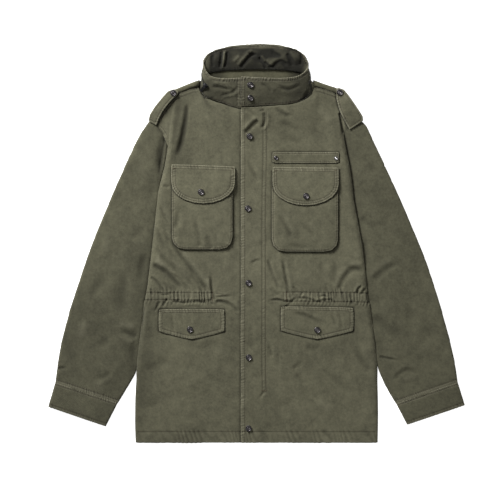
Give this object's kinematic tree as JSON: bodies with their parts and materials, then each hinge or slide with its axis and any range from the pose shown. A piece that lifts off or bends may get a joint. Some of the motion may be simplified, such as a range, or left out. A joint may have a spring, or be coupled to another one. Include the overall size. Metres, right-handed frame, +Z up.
{
  "type": "field jacket",
  "caption": "Cotton field jacket laid flat on its back: stand collar with a stowed-hood zip, snapped fly, gathered waist, flapped chest and hip pockets, shoulder straps, cuffed sleeves.",
  "frame": {"origin": "on the floor under the middle of the jacket's outline", "axes": "+X to the wearer's left across the sleeves, +Y to the collar, +Z up, out of the jacket's front"},
  "size_m": [0.9174, 0.8758, 0.0274],
  "materials": {
    "cotton": "garment-washed olive cotton twill, matt, paler along its seams",
    "zip_metal": "dark gunmetal, satin",
    "snap_metal": "dark gunmetal, polished, with worn bright rims",
    "rivet_metal": "nickel, polished"
  },
  "bodies": {
    "jacket": {"back": "cotton", "front_right": "cotton", "front_left": "cotton", "sleeve_right": "cotton", "sleeve_left": "cotton", "cuff_right": "cotton", "cuff_left": "cotton", "collar": "cotton", "chest_pocket_right": "cotton", "chest_pocket_left": "cotton", "chest_flap_right": "cotton", "chest_flap_left": "cotton", "lower_flap_right": "cotton", "lower_flap_left": "cotton", "name_strip": "cotton", "shoulder_strap_right": "cotton", "shoulder_strap_left": "cotton", "collar_zip": "zip_metal", "zip_slider": "zip_metal", "snap_collar_top": "snap_metal", "snap_collar_low": "snap_metal", "snap_fly_1": "snap_metal", "snap_fly_2": "snap_metal", "snap_fly_3": "snap_metal", "snap_fly_4": "snap_metal", "snap_fly_5": "snap_metal", "snap_chest_right": "snap_metal", "snap_chest_left": "snap_metal", "snap_lower_right": "snap_metal", "snap_lower_left": "snap_metal", "snap_strap_right": "snap_metal", "snap_strap_left": "snap_metal", "rivet_inner": "rivet_metal", "rivet_outer": "rivet_metal"},
    "pull_tab": {"zip_pull": "zip_metal"}
  },
  "joints": [
    {"name": "pull_swing", "type": "hinge", "parent": "jacket", "child": "pull_tab", "pos_m": [-0.11282, 0.3463, 0.02261], "axis": [-0.6594, 0.7403, -0.1314], "range_deg": [0, 180]}
  ]
}
